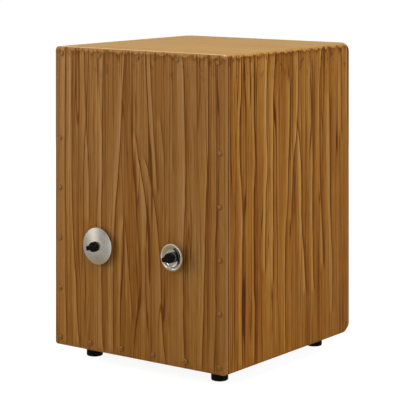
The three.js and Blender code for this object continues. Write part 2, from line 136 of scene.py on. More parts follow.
def corner_radius(radius, y, inset):
    """A long edge's rounding at y: it grows towards the rear, where three rounded edges meet."""
    start = BACK_Y - 2 * REAR_RADIUS
    share = min(1.0, max(0.0, (y - start) / (1.4 * REAR_RADIUS)))
    grown = radius + (REAR_CORNER_RADIUS - radius) * share * share * (3 - 2 * share)
    return max(grown - inset, 0.05)


def edge_arc(y, inset, side, end, start, finish):
    """Part of a long edge's rounding at y. side and end are 1 or -1: right or left, top or bottom."""
    radius = corner_radius(TOP_RADIUS if end > 0 else BOTTOM_RADIUS, y, inset)
    x = RIGHT_X - inset - radius
    z = TOP_Z - inset - radius if end > 0 else BOTTOM_Z + inset + radius
    return arc(side * x, z, radius, start, finish)


def box_section(y, inset):
    """The whole box's outline seen from the front, shrunk by inset on every side."""
    edges = ((1, -1, -90), (1, 1, 0), (-1, 1, 90), (-1, -1, 180))
    return sum((edge_arc(y, inset, side, end, a, a + 90) for side, end, a in edges), [])


def side_section(side):
    """A side panel's outline between its mitres, as a function of y and its outer face's inset."""

    def outline(y, inset):
        outer = edge_arc(y, inset, 1, -1, -45, 0) + edge_arc(y, inset, 1, 1, 0, 45)
        inner = [(INNER_X, ceiling), (INNER_X, floor_inside)]
        return [(side * px, pz) for px, pz in outer + inner]

    return outline


def level_section(end):
    """The top (end 1) or bottom (end -1) panel's outline between its mitres."""
    inner_z = ceiling if end > 0 else floor_inside

    def outline(y, inset):
        outer = edge_arc(y, inset, 1, end, 45 * end, 90 * end)
        outer += edge_arc(y, inset, -1, end, 90 * end, 135 * end)
        return outer + [(-INNER_X, inner_z), (INNER_X, inner_z)]

    return outline


def rear_inset(y):
    """How far the rounded rear edge has pulled in at y."""
    into = max(0.0, y - (BACK_Y - REAR_RADIUS))
    return REAR_RADIUS - math.sqrt(max(0.0, REAR_RADIUS**2 - into**2))


# ---- Meshes ----


class Shape:
    """Vertices and faces in millimetres. Each face has a tag, which picks its material."""

    def __init__(self):
        self.points, self.faces, self.tags = [], [], []

    def ring(self, points):
        start = len(self.points)
        self.points += [tuple(p) for p in points]
        return list(range(start, len(self.points)))

    def face(self, indices, tag=0):
        if len(set(indices)) > 2:
            self.faces.append(list(dict.fromkeys(indices)))
            self.tags.append(tag)

    def bridge(self, one, two, tag=0):
        """Joins two rings. A ring of one point is a pole. tag may be a function of the segment."""
        count = max(len(one), len(two))
        for i in range(count):
            j = (i + 1) % count
            a, b = one[i % len(one)], one[j % len(one)]
            c, d = two[j % len(two)], two[i % len(two)]
            self.face([a, b, c, d], tag(i) if callable(tag) else tag)

    def skin(self, rings, tag=0, caps=(0, 0)):
        """Joins each ring to the next and closes both ends."""
        for one, two in zip(rings, rings[1:]):
            self.bridge(one, two, tag)
        self.face(rings[0], caps[0])
        self.face(rings[-1], caps[1])
        return self

    def add(self, other, move=None):
        """Adds another shape's faces, with its points passed through move."""
        start = len(self.points)
        self.points += [tuple(move(Vector(p))) if move else p for p in other.points]
        self.faces += [[start + i for i in face] for face in other.faces]
        self.tags += other.tags
        return self

    def mesh(self, name):
        mesh = bpy.data.meshes.new(name)
        mesh.from_pydata([Vector(p) * MM for p in self.points], [], self.faces)
        mesh.polygons.foreach_set("material_index", self.tags)
        tidy = bmesh.new()
        tidy.from_mesh(mesh)
        bmesh.ops.remove_doubles(tidy, verts=tidy.verts, dist=1e-7)
        bmesh.ops.recalc_face_normals(tidy, faces=tidy.faces)
        tidy.to_mesh(mesh)
        tidy.free()
        return mesh


def lofted(outline, stations, tag=0, caps=(0, 0)):
    """Rings of outline(y, inset) at each (y, inset) station, closed at both ends."""
    shape = Shape()
    rings = [shape.ring((x, y, z) for x, z in outline(y, inset)) for y, inset in stations]
    return shape.skin(rings, tag, caps)


def shrunk(points, inset):
    """A closed outline with each corner moved inwards."""
    made = []
    count = len(points)
    area = sum(points[i - 1][0] * p[1] - p[0] * points[i - 1][1] for i, p in enumerate(points))
    turn = 1 if area > 0 else -1
    for i, point in enumerate(points):
        corner = Vector(point)
        one = (corner - Vector(points[i - 1])).normalized()
        two = (Vector(points[(i + 1) % count]) - corner).normalized()
        inward = Vector((-one.y - two.y, one.x + two.x)) * turn
        made.append(tuple(corner + inward.normalized() * inset))
    return made


def eased_start(y, ease, steps=3):
    """Stations of a rounded end that starts at y."""
    return [(y + ease * (1 - math.cos(a)), ease * (1 - math.sin(a))) for a in quarter(steps)]


def eased_stations(y0, y1, ease):
    """Stations of a straight piece from y0 to y1 with rounded ends."""
    start = eased_start(y0, ease)
    return start + [(y0 + y1 - y, inset) for y, inset in reversed(start)]


def bar(outline, y0, y1, ease):
    """A straight bar along Y with the given outline and rounded ends."""
    return lofted(lambda y, inset: shrunk(outline, inset), eased_stations(y0, y1, ease))


def prism(points, y0, y1, ease):
    """A straight bar along Y with all its edges softened."""
    return bar(softened(points, ease), y0, y1, ease)


def rectangle(x0, x1, z0, z1):
    return [(x0, z0), (x1, z0), (x1, z1), (x0, z1)]


def block(node, ease):
    """A straight bar along Y in the place of a CAD node."""
    low, high = corners(node)
    return prism(rectangle(low.x, high.x, low.z, high.z), low.y, high.y, ease)


def lathed(profile, segments=96, closed=False, tag=0):
    """Revolves (radius, y) points about the Y axis. A closed profile is a ring's cross-section."""
    shape, rings = Shape(), []
    turns = [math.tau * k / segments for k in range(segments)]
    for radius, y in profile:
        around = turns if radius else turns[:1]  # a point on the axis is a pole
        rings.append(shape.ring((radius * math.cos(a), y, radius * math.sin(a)) for a in around))
    for one, two in zip(rings, rings[1:] + rings[:1] if closed else rings[1:]):
        shape.bridge(one, two, tag)
    return shape


def plug(radius, y0, y1, segments=48):
    """A cylinder along Y, to cut a bore with."""
    return lathed([(0, y0), (radius, y0), (radius, y1), (0, y1)], segments)


def moved(x, y, z, turn=0.0, tip=0):
    """A function that turns a point about Y, tips it about X, both in degrees, and then moves it."""
    turned = Matrix.Rotation(math.radians(tip), 4, "X") @ Matrix.Rotation(math.radians(turn), 4, "Y")
    matrix = Matrix.Translation((x, y, z)) @ turned
    return lambda point: matrix @ point


def placed(shape, move):
    return Shape().add(shape, move)


MOST_TAGS = 3  # empty slots that keep the faces' tags through a cut


def linked(name, data):
    """A new object in the scene."""
    made = bpy.data.objects.new(name, data)
    bpy.context.scene.collection.objects.link(made)
    return made


def baked(base, *tools):
    """The mesh of an object after its modifiers. The object and its tools are removed."""
    graph = bpy.context.evaluated_depsgraph_get()
    made = bpy.data.meshes.new_from_object(base.evaluated_get(graph))
    for used in (base, *tools):
        bpy.data.objects.remove(used)
    return made


def piece(name, shape, materials, body=ROOT_BODY, sharp=32):
    """Makes the object that stands for the CAD node of its name and moves with a body."""
    mesh = shape if isinstance(shape, bpy.types.Mesh) else shape.mesh(name)
    mesh.name = name
    tags = [face.material_index for face in mesh.polygons]
    mesh.materials.clear()
    for material in materials:
        mesh.materials.append(material)
    mesh.polygons.foreach_set("material_index", tags)
    mesh.shade_smooth()
    mesh.set_sharp_from_angle(angle=math.radians(sharp))
    made = linked(name, mesh)
    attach(made, body)
    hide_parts(name)
    return made


def combined(shape, cutters, operation="DIFFERENCE"):
    """The mesh left after each cutter is taken from the shape, or after it is kept inside them."""
    mesh = shape if isinstance(shape, bpy.types.Mesh) else shape.mesh("solid")
    base = linked("solid", mesh)
    tools = [linked("cutter", cutter.mesh("cutter")) for cutter in cutters]
    for tool in tools:
        modifier = base.modifiers.new("cut", "BOOLEAN")
        modifier.operation = operation
        modifier.solver = "EXACT"
        modifier.object = tool
    for solid in [base, *tools]:
        while len(solid.data.materials) < MOST_TAGS:
            solid.data.materials.append(None)
    return baked(base, *tools)


# ---- Materials ----


def srgb(red, green, blue):
    """A screen colour (0 to 255) as linear light."""
    parts = [c / 255 for c in (red, green, blue)]
    return tuple(c / 12.92 if c <= 0.04045 else ((c + 0.055) / 1.055) ** 2.4 for c in parts)


def palette(*colours):
    return [srgb(*colour) for colour in colours]


class Value:
    """A node's number output that takes part in arithmetic."""

    def __init__(self, nodes, socket):
        self.nodes, self.socket = nodes, socket

    def __add__(self, other):
        return self.nodes.math("ADD", self, other)

    def __mul__(self, other):
        return self.nodes.math("MULTIPLY", self, other)

    def __sub__(self, other):
        return self.nodes.math("SUBTRACT", self, other)

    __radd__ = __add__
    __rmul__ = __mul__


class Nodes:
    """The nodes of one new material or world."""

    def __init__(self, name, world=False):
        self.owner = (bpy.data.worlds if world else bpy.data.materials).new(name)
        self.owner.use_nodes = True
        self.tree = self.owner.node_tree
        self.shader = self.tree.nodes.get("Principled BSDF")
        place = self.add("TexCoord").outputs["Generated" if world else "Object"]
        split = self.add("SeparateXYZ", {0: place})
        self.x, self.y, self.z = (Value(self, out) * (1 / MM) for out in split.outputs)

    def add(self, kind, inputs=(), **settings):
        """A new node, with some inputs given by name or number."""
        node = self.tree.nodes.new(f"ShaderNode{kind}")
        for key, value in settings.items():
            setattr(node, key, value)
        for key, value in dict(inputs).items():
            self.put(node.inputs[key], value)
        return node

    def put(self, socket, value):
        if isinstance(value, Value):
            value = value.socket
        if isinstance(value, bpy.types.NodeSocket):
            self.tree.links.new(value, socket)
        elif value is not None:
            is_colour = socket.type == "RGBA" and len(value) == 3
            socket.default_value = (*value, 1) if is_colour else value

    def math(self, operation, *inputs):
        return Value(self, self.add("Math", enumerate(inputs), operation=operation).outputs[0])

    def smooth(self, value, low, high):
        """0 at low and 1 at high, with a soft curve between."""
        inputs = {"Value": value, "From Min": low, "From Max": high}
        return Value(self, self.add("MapRange", inputs, interpolation_type="SMOOTHSTEP").outputs[0])

    def noise(self, x, y, z=0.0, detail=2.0, roughness=0.5):
        """Smooth noise about 0, between -0.5 and 0.5."""
        vector = self.add("CombineXYZ", enumerate((x, y, z))).outputs[0]
        inputs = {"Vector": vector, "Scale": 1.0, "Detail": detail, "Roughness": roughness}
        return Value(self, self.add("TexNoise", inputs).outputs[0]) - 0.5

    def random(self, value):
        """An unpredictable number from 0 to 1 for each value."""
        node = self.add("TexWhiteNoise", {"W": value}, noise_dimensions="1D")
        return Value(self, node.outputs["Value"])

    def curve(self, value, points):
        """A smooth curve through (value, result) points, in rising order."""
        node = self.add("FloatCurve")
        start, end = points[0][0], points[-1][0]
        results = [result for _, result in points]
        low, reach = min(results), max(max(results) - min(results), 1e-3)
        node.mapping.extend = "HORIZONTAL"
        line = node.mapping.curves[0]
        while len(line.points) < len(points):
            line.points.new(0.5, 0.5)
        for point, (x, result) in zip(line.points, points):
            point.location = ((x - start) / (end - start), (result - low) / reach)
        node.mapping.update()
        self.put(node.inputs["Value"], (value - start) * (1 / (end - start)))
        return Value(self, node.outputs[0]) * reach + low

    def ramp(self, value, *stops):
        """A colour between stops of (position, colour)."""
        node = self.add("ValToRGB", {0: value})
        elements = node.color_ramp.elements
        while len(elements) < len(stops):
            elements.new(0.5)
        for element, (position, colour) in zip(elements, stops):
            element.position = position
            element.color = (*colour, 1)
        return node.outputs[0]

    def blend(self, factor, one, two):
        return self.add("Mix", {0: factor, 6: one, 7: two}, data_type="RGBA").outputs[2]

    def bump(self, height, depth):
        """Raises the surface by up to depth millimetres."""
        node = self.add("Bump", {"Distance": depth * MM, "Height": height})
        self.put(self.shader.inputs["Normal"], node.outputs[0])

    def glow(self, colour, strength=1.0):
        return self.add("Emission", {"Color": colour, "Strength": strength}).outputs[0]

    def mixed(self, factor, one, two):
        """Shader one where factor is 0 and shader two where it is 1."""
        return self.add("MixShader", enumerate((factor, one, two))).outputs[0]

    def surface(self, shader):
        output = next(node for node in self.tree.nodes if node.type.startswith("OUTPUT_"))
        self.put(output.inputs["Surface"], shader)

    def done(self, colour, roughness, metallic=0.0, specular=0.5, fuzz=0.0):
        settings = {
            "Base Color": colour,
            "Roughness": roughness,
            "Metallic": metallic,
            "Specular IOR Level": specular,
            "Sheen Weight": fuzz,
        }
        for key, value in settings.items():
            self.put(self.shader.inputs[key], value)
        return self.owner


def vein(n, across, along, strength, course):
    """One long grain line through (along, across) points: a dark line with a light band on its left."""
    low, high = course[0][0], course[-1][0]
    offset = across - n.curve(along, course)
    inside = n.smooth(along, low - 4, low + 16) * n.smooth(along, high + 4, high - 16)
    return n.curve(offset, VEIN_PROFILE) * inside * strength


def thread(n, across, along, seed, gap, run, width):
    """Thin dark lines that wander, split and meet, about gap apart and run long."""
    wander = n.noise(across * (0.5 / gap), along * (1 / run), seed, detail=1.0)
    rings = across * (1 / gap) + wander * 3.4
    line = n.smooth(n.math("ABSOLUTE", n.math("FRACT", rings) - 0.5), width / gap, 0.0)
    number = n.math("FLOOR", rings)
    chance = n.random(number + seed)
    fade = n.noise(number * 2.3, along * (1.6 / run), seed + 0.5)
    return line * n.smooth(chance, 0.15, 0.9) * n.smooth(fade, -0.2, 0.15)


def end_figure(n, across, along, seed, streak):
    """Stronger streaks near the box's top and bottom, and flame marks and a ragged painted highlight at the
    top edge.
    """
    high = n.smooth(n.z, TOP_Z - 60, TOP_Z - 10)
    ends = high + n.smooth(n.z, BOTTOM_Z + 60, BOTTOM_Z + 6) * 0.6
    flames = n.noise(across * 0.1, along * 0.05, seed + 9, detail=3.0, roughness=0.6)
    marks = n.smooth(flames, 0.05, 0.17) * high
    ragged = n.z + flames * 26
    # painted highlight: a ragged paler band along the top edge, where its rounding faces the light from
    # above
    painted_edge_highlight = n.smooth(ragged, TOP_Z - 5, TOP_Z - 3)
    shade = n.smooth(ragged, TOP_Z - 13, TOP_Z - 6)
    return streak * ends * 0.6 - marks * 0.26 + painted_edge_highlight * 0.5 - shade * 0.14


def warmed(colour):
    """A wood colour's more golden relative."""
    return tuple(part * share for part, share in zip(colour, (1.0, 0.93, 0.68)))


def veneer(name, across, along, seed, tones, courses, contrast=1.0):
    """Figured veneer: the courses' main lines over fine wandering ones. across and along name axes."""
    n = Nodes(name)
    u, w = getattr(n, across), getattr(n, along)
    wobble = n.noise(u * 0.05, w * 0.012, seed)
    placed_u = u + wobble * 4.0
    main = sum(vein(n, placed_u, w, *course) for course in courses)
    broad = n.noise(u * 0.028, w * 0.002, seed + 1)
    band = n.noise(u * 0.14, w * 0.0018, seed + 2, roughness=0.6)
    streak = n.noise(u * 0.6, w * 0.0035, seed + 3, detail=3.0, roughness=0.7)
    hair = n.noise(u * 2.4, w * 0.03, seed + 4)
    threads = sum(
        thread(n, u, w, seed + number, gap, run, width) * strength
        for number, gap, run, width, strength in THREADS
    )
    # a dark line along the shell's front joint: a glue line, and painted shade in the joint's groove
    glue_line_and_shade = n.smooth(n.math("ABSOLUTE", n.y - SHELL_Y), 2.4, 0.0)
    figure = main * 0.6 + broad * 0.35 + band * 0.4 + streak * 0.65 + hair * 0.55
    figure = figure - threads * 1.15 - glue_line_and_shade * 0.8
    if along == "z":
        figure = figure + end_figure(n, u, w, seed, streak)
    tone = 0.62 + figure * contrast
    places = (0.02, 0.26, 0.52, 0.76, 1.0)
    plain = n.ramp(tone, *zip(places, tones))
    golden = n.ramp(tone, *zip(places, map(warmed, tones)))
    warmth = n.noise(u * 0.02, w * 0.008, seed + 12) - broad * 0.5
    warmth = warmth - n.smooth(n.z, BOTTOM_Z, TOP_Z) * 0.3
    colour = n.blend(n.smooth(warmth, -0.28, 0.1), plain, golden)
    pores = n.noise(u * 4.0, w * 0.12, seed + 8)
    n.bump(pores * 0.6 - threads * 0.5, 0.12)
    return n.done(colour, 0.42 + streak * 0.12, specular=0.12)


def courses_from(low, lines):
    """Grain lines given by (distance from the face's left edge, depth below its top) points."""
    return [
        (strength, sorted((TOP_Z - depth, low + distance) for distance, depth in points))
        for strength, points in lines
    ]


def scattered_courses(seed, low, high, start, end):
    """Grain lines over a whole face at uneven distances, some of them short."""
    pick = random.Random(seed)
    courses = []
    u = low + pick.uniform(4, 16)
    while u < high - 4:
        first = start if pick.random() < 0.6 else pick.uniform(start, (start + end) / 2)
        last = end if pick.random() < 0.6 else pick.uniform(first + (end - first) * 0.4, end)
        lean = pick.uniform(-8, 8)
        steps = (0, 0.3, 0.65, 1)
        points = [(first + (last - first) * t, u + lean * t + pick.uniform(-3, 3)) for t in steps]
        courses.append((pick.uniform(0.45, 1.0), points))
        u += pick.uniform(12, 42)
    return courses


def plain_wood(name, across, along, dark, light, seed=0.0, layers=None, roughness=0.6, top=None):
    """Even-grained wood. layers is (axis, thickness) for plies; top is a lighter colour painted along the
    box's top edge as a highlight.
    """
    n = Nodes(name)
    u, w = getattr(n, across), getattr(n, along)
    streak = n.noise(u * 0.35, w * 0.012, seed, detail=4.0, roughness=0.6)
    cloud = n.noise(u * 0.02, w * 0.006, seed + 5)
    tone = 0.5 + streak * 0.9 + cloud * 0.6
    if layers:
        axis, thickness = layers
        ply = n.math("SINE", getattr(n, axis) * (math.pi / thickness))
        tone = tone + n.smooth(ply, -0.25, 0.25) * 0.5 - 0.3
    colour = n.ramp(tone, (0.1, srgb(*dark)), (0.9, srgb(*light)))
    # painted highlight: the last few millimetres below the top blend to the lighter top colour
    if top:
        colour = n.blend(n.smooth(n.z, TOP_Z - 3, TOP_Z - 0.5), colour, srgb(*top))
    n.bump(streak, 0.08)
    return n.done(colour, roughness + streak * 0.15)


TURNED_ANISOTROPY = 0.35  # how far turning marks spread a reflection across themselves


def metal(name, colour, roughness, centre=None):
    """Bare or plated metal. With a centre (x, z) it has faint turning marks round it."""
    n = Nodes(name)
    smudge = n.noise(n.x * 0.12, n.y * 0.12, n.z * 0.12, detail=3.0)
    grain = n.noise(n.x * 2.5, n.y * 2.5, n.z * 2.5, detail=3.0)
    if centre:
        dx, dz = n.x - centre[0], n.z - centre[1]
        radius = n.math("SQRT", dx * dx + dz * dz)
        grain = n.noise(radius * 3.0, 0.0, detail=4.0)
        n.bump(grain, 0.01)
        parts = {"X": n.math("DIVIDE", dz, radius) * -1, "Z": n.math("DIVIDE", dx, radius)}
        around = {0: n.add("CombineXYZ", parts).outputs[0]}
        tangent = n.add("VectorTransform", around, convert_from="OBJECT", convert_to="WORLD")
        n.put(n.shader.inputs["Tangent"], tangent.outputs[0])
        n.put(n.shader.inputs["Anisotropic"], TURNED_ANISOTROPY)
    clean = srgb(*colour)
    tint = n.ramp(smudge + 0.5, (0.2, tuple(c * 0.93 for c in clean)), (0.8, clean))
    return n.done(tint, roughness * (1 + (smudge + grain) * 0.5), metallic=1.0)


def moulded(name, colour, roughness, bump_depth, scale, specular=0.3, fuzz=0.0):
    """Rubber, plastic, foam or felt: a mottled colour and an uneven skin."""
    n = Nodes(name)
    skin = n.noise(n.x * scale, n.y * scale, n.z * scale, detail=5.0, roughness=0.65)
    cloud = n.noise(n.x * 0.08, n.y * 0.08, n.z * 0.08)
    dark, light = (tuple(c * share for c in srgb(*colour)) for share in (0.7, 1.35))
    tint = n.ramp(skin * 0.7 + cloud + 0.5, (0.2, dark), (0.8, light))
    n.bump(skin, bump_depth)
    return n.done(tint, roughness + skin * 0.2, specular=specular, fuzz=fuzz)


# How light the wood is across a main grain line: a light band, the dark line and a soft shade.
VEIN_PROFILE = [(-14, 0), (-7, 0.25), (-2.2, 0.4), (-0.8, 0), (0, -1.15), (0.8, -0.4), (3, -0.18), (12, 0)]

# Fine lines: a number for the seed, the gap between lines, their run and width, and their strength.
THREADS = ((5, 13, 420, 1.1, 0.75), (6, 7, 300, 0.9, 0.6), (7, 3.5, 200, 0.6, 0.4))

# Each line's strength, and its (distance from the left edge, depth below the top) points.
FRONT_LINES = [
    (0.5, [(20, 0), (19, 200), (24, 446)]),
    (0.9, [(34, 0), (33, 200), (40, 335), (48, 446)]),
    (0.75, [(57, 0), (58, 50), (61, 110), (66, 180), (68, 260)]),
    (0.4, [(80, 10), (87, 85), (90, 130)]),
    (1.0, [(93, 0), (92, 100), (91.5, 187), (90, 250), (96, 446)]),
    (1.0, [(134, 0), (127, 120), (116, 250), (112, 350), (113, 446)]),
    (1.0, [(154, 118), (158, 143), (167, 187), (175, 233), (178, 290)]),
    (0.5, [(133, 240), (128, 320), (126, 446)]),
    (0.6, [(134, 240), (142, 320), (150, 400)]),
    (0.8, [(170, 150), (182, 187), (193, 240), (200, 307), (202, 367), (210, 446)]),
    (0.8, [(181, 0), (187, 110), (190, 147), (195, 205)]),
    (0.5, [(200, 90), (207, 165)]),
    (0.5, [(220, 0), (223, 175)]),
    (0.9, [(237, 0), (244, 100), (245, 200), (243, 233), (241, 320), (246, 446)]),
    (0.5, [(265, 0), (266, 110)]),
    (1.0, [(283, 0), (285, 50), (285, 110), (281, 213), (278, 320), (274, 446)]),
    (0.6, [(296, 0), (299, 200), (294, 446)]),
]
RIGHT_LINES = [
    (0.4, [(5, 0), (5, 446)]),
    (0.95, [(33, 0), (31, 60), (28, 120), (33, 193), (35, 247), (33, 350), (34, 446)]),
    (0.4, [(52, 0), (53, 80)]),
    (0.9, [(62, 0), (63, 83), (66, 157), (63, 200), (63, 337), (66, 367), (64, 446)]),
    (0.9, [(100, 0), (95, 100), (97, 167), (93, 213), (91, 320)]),
    (0.7, [(118, 0), (113, 67), (112, 110), (112, 340)]),
    (0.8, [(158, 40), (153, 150), (150, 213), (143, 325), (145, 446)]),
    (0.9, [(178, 0), (178, 67), (174, 117), (163, 190), (160, 260)]),
    (1.0, [(173, 110), (182, 147), (187, 217), (187, 247), (193, 307), (199, 370)]),
    (0.8, [(213, 20), (217, 150), (217, 287), (224, 370)]),
    (0.9, [(247, 0), (237, 83), (237, 187), (241, 247), (247, 340)]),
    (0.7, [(263, 70), (264, 133), (266, 230), (272, 350), (272, 410)]),
    (0.8, [(297, 10), (297, 145)]),
    (0.5, [(315, 0), (315, 120)]),
]
FRONT_COURSES = courses_from(-RIGHT_X, FRONT_LINES)
RIGHT_COURSES = courses_from(SHELL_Y, RIGHT_LINES)
LEFT_COURSES = scattered_courses(5, SHELL_Y, BACK_Y, BOTTOM_Z, TOP_Z)
BACK_COURSES = scattered_courses(8, -RIGHT_X, RIGHT_X, BOTTOM_Z, TOP_Z)
LEVEL_COURSES = scattered_courses(11, SHELL_Y, BACK_Y, -RIGHT_X, RIGHT_X)

FRONT_PALETTE = palette((90, 49, 9), (107, 64, 16), (128, 85, 35), (144, 102, 53), (158, 119, 73))
SIDE_PALETTE = palette((78, 34, 0), (110, 60, 4), (140, 89, 28), (160, 111, 48), (178, 132, 70))
# The top's palette is lighter and more golden than the sides': painted light, for the stronger light that
# falls on the top.
TOP_LIT_PALETTE = palette((148, 106, 48), (160, 119, 58), (169, 129, 68), (177, 138, 78), (184, 146, 88))

FRONT_VENEER = veneer("front_veneer", "x", "z", 11.0, FRONT_PALETTE, FRONT_COURSES, 1.2)
RIGHT_VENEER = veneer("right_veneer", "y", "z", 23.0, SIDE_PALETTE, RIGHT_COURSES, 1.45)
LEFT_VENEER = veneer("left_veneer", "y", "z", 37.0, SIDE_PALETTE, LEFT_COURSES)
BACK_VENEER = veneer("back_veneer", "x", "z", 51.0, SIDE_PALETTE, BACK_COURSES)
TOP_VENEER = veneer("top_veneer", "y", "x", 67.0, TOP_LIT_PALETTE, LEVEL_COURSES, 1.3)
UNDER_VENEER = veneer("under_veneer", "y", "x", 71.0, SIDE_PALETTE, LEVEL_COURSES)
# The edge wood's top colour is a painted highlight along the top edges of the tapa's rounding and the
# frame.
EDGE_WOOD = plain_wood(
    "edge_wood", "y", "z", (132, 86, 34), (162, 114, 56), roughness=0.42, top=(208, 170, 116)
)
INNER_PLY = plain_wood("inner_ply", "y", "z", (168, 132, 84), (214, 184, 138), 3.0)
PLY_EDGE = plain_wood("ply_edge", "x", "z", (112, 76, 40), (206, 170, 120), 5.0, layers=("y", 1.2))
BAR_WOOD = plain_wood("bar_wood", "z", "x", (160, 118, 70), (206, 170, 120), 8.0)
BLOCK_WOOD = plain_wood("block_wood", "x", "y", (170, 130, 82), (212, 180, 132), 9.0)
RUBBER = moulded("rubber", (9, 8, 7), 0.55, 0.06, 1.2, specular=0.15)
BLACK_NUT = moulded("black_nut", (8, 8, 7), 0.45, 0.03, 1.6, specular=0.12)
FELT = moulded("felt", (40, 37, 34), 0.95, 0.25, 2.2, fuzz=0.3)
FOAM = moulded("foam", (58, 58, 62), 0.95, 0.5, 0.9)
SCREW_STEEL = metal("screw_steel", (196, 154, 100), 0.5)
ZINC_STEEL = metal("zinc_steel", (196, 197, 200), 0.3)
SNARE_STEEL = metal("snare_steel", (205, 206, 210), 0.25)


# ---- The box ----


def build_tapa():
    stations = eased_start(FRONT_Y, TAPA_EASE, 5) + [(FRAME_Y - JOINT_EASE, 0), (FRAME_Y, JOINT_EASE)]
    edge_from = 3  # the front veneer ends on the rounding
    shape = Shape()
    rings = [shape.ring((x, y, z) for x, z in box_section(y, inset)) for y, inset in stations]
    for number, (one, two) in enumerate(zip(rings, rings[1:])):
        shape.bridge(one, two, 1 if number >= edge_from else 0)
    shape.face(rings[0], 0)
    shape.face(rings[-1], 2)
    cuts = [(f"{size}_stud", plug(STUD_BORE, -2, 5)) for size in ("large", "small")]
    cuts += [(node, plug(PILOT_RADIUS, -2, 5, 16)) for node in SCREW_NODES]
    holes = Shape()
    for node, cut in cuts:
        place = middle_of(node)
        holes.add(cut, moved(place.x, FRONT_Y, place.z))
    mesh = combined(shape, [holes])
    piece("tapa", mesh, [FRONT_VENEER, EDGE_WOOD, INNER_PLY])


def build_front_frame():
    for end, radius in (("top", TOP_RADIUS), ("bottom", BOTTOM_RADIUS)):
        node = f"front_frame_{end}_rail"
        low, high = corners(node)
        up, outer, inner = (1, high.z, low.z) if end == "top" else (-1, low.z, high.z)
        centre = outer - up * radius
        points = arc(RIGHT_X - radius, centre, radius, 0, 90 * up)
        points += arc(-RIGHT_X + radius, centre, radius, 90 * up, 180 * up)
        points += [(-RIGHT_X, inner), (RIGHT_X, inner)]
        piece(node, bar(points, low.y, high.y, JOINT_EASE), [EDGE_WOOD])
    for side in ("left", "right"):
        node = f"front_frame_{side}_stile"
        piece(node, block(node, JOINT_EASE), [EDGE_WOOD])


def build_shell():
    """The four mitred panels. Their outer faces are veneered and their inner faces bare plywood."""
    straight_end = BACK_Y - 2 * REAR_RADIUS
    rounding = [straight_end + (REAR_Y - straight_end) * k / 12 for k in range(12)]
    stations = [(SHELL_Y, JOINT_EASE), (SHELL_Y + JOINT_EASE, 0)]
    stations += [(y, rear_inset(y)) for y in rounding]
    stations.append((REAR_Y - 0.3, rear_inset(REAR_Y - 0.3)))
    stations.append((REAR_Y, rear_inset(REAR_Y) + REAR_JOINT_EASE))
    panels = (
        ("right_side_panel", side_section(1), RIGHT_VENEER),
        ("left_side_panel", side_section(-1), LEFT_VENEER),
        ("top_panel", level_section(1), TOP_VENEER),
        ("bottom_panel", level_section(-1), UNDER_VENEER),
    )
    for node, section, outer in panels:
        faces = len(section(SHELL_Y, 0)) - 3  # the outer segments, without the mitres and the inside

        def tag(i, faces=faces):
            return 0 if i < faces else 1

        shape = lofted(section, stations, tag, caps=(2, 2))
        piece(node, shape, [outer, INNER_PLY, PLY_EDGE])


def build_back():
    stations = [(REAR_Y, rear_inset(REAR_Y) + REAR_JOINT_EASE)]
    for angle in quarter(10):
        y = BACK_Y - REAR_RADIUS + REAR_RADIUS * math.sin(angle)
        if y > REAR_Y + 0.3:
            stations.append((y, rear_inset(y)))
    shape = lofted(box_section, stations, caps=(1, 0))
    middle = BOTTOM_Z + (TOP_Z - BOTTOM_Z) * SOUND_HOLE_SHARE
    ease = SOUND_HOLE_EASE
    flare = [
        (SOUND_HOLE_RADIUS + ease * (1 - math.cos(a)), BACK_Y - ease + ease * math.sin(a))
        for a in quarter(6)
    ]
    back_flare = [(radius, REAR_Y + BACK_Y - y) for radius, y in reversed(flare)]
    outer = SOUND_HOLE_RADIUS + ease
    profile = [(0, REAR_Y - 2), (outer, REAR_Y - 2)] + back_flare + flare
    profile += [(outer, BACK_Y + 2), (0, BACK_Y + 2)]
    hole = placed(lathed(profile, 128, tag=2), moved(0, 0, middle))
    mesh = combined(shape, [hole])
    piece("back_panel", mesh, [BACK_VENEER, INNER_PLY, PLY_EDGE])


def build_corner_blocks():
    for end in ("top", "bottom"):
        for side in ("left", "right"):
            node = f"corner_block_{end}_{side}"
            low, high = corners(node)
            x, inner_x = (high.x, low.x) if side == "right" else (low.x, high.x)
            z, inner_z = (high.z, low.z) if end == "top" else (low.z, high.z)
            outline = [(x, z), (inner_x, z), (x, inner_z)]
            piece(node, prism(outline, low.y, high.y, 0.6), [BLOCK_WOOD])


# ---- Fasteners and feet ----


def pan_head(radius, length, head_radius, head_height):
    """A cross-recessed pan-head screw along Y, with its head in front of y = 0."""
    dome = [
        (head_radius * math.sin(a), -head_height * 0.45 - head_height * 0.55 * math.cos(a))
        for a in quarter(8)
    ]
    profile = dome + [(head_radius, -0.15), (head_radius - 0.15, 0), (radius, 0)]
    profile += [(radius, length - 2 * radius), (0, length)]
    body = lathed(profile, 40)
    arm, slim, depth = head_radius * 0.55, head_radius * 0.13, head_height * 0.55
    top = rectangle(-arm, arm, -slim, slim)
    cut = Shape()
    outer = cut.ring((x * 1.1, -head_height - 0.3, z) for x, z in top)
    inner = cut.ring((x * 0.35, -head_height + depth, z * 0.7) for x, z in top)
    cut.skin([outer, inner])
    return combined(body, [placed(cut, moved(0, 0, 0, angle)) for angle in (0, 90)])


def copy_of(mesh, move):
    """A template mesh, moved by a function on millimetres."""
    made = mesh.copy()
    for vertex in made.vertices:
        vertex.co = move(vertex.co / MM) * MM
    return made


def build_tapa_screws():
    template = pan_head(radius=1.5, length=16, head_radius=3.3, head_height=2.2)
    turns = random.Random(4)
    for node in SCREW_NODES:
        place = middle_of(node)
        screw = copy_of(template, moved(place.x, FRONT_Y, place.z, turns.uniform(0, 90)))
        piece(node, screw, [SCREW_STEEL])


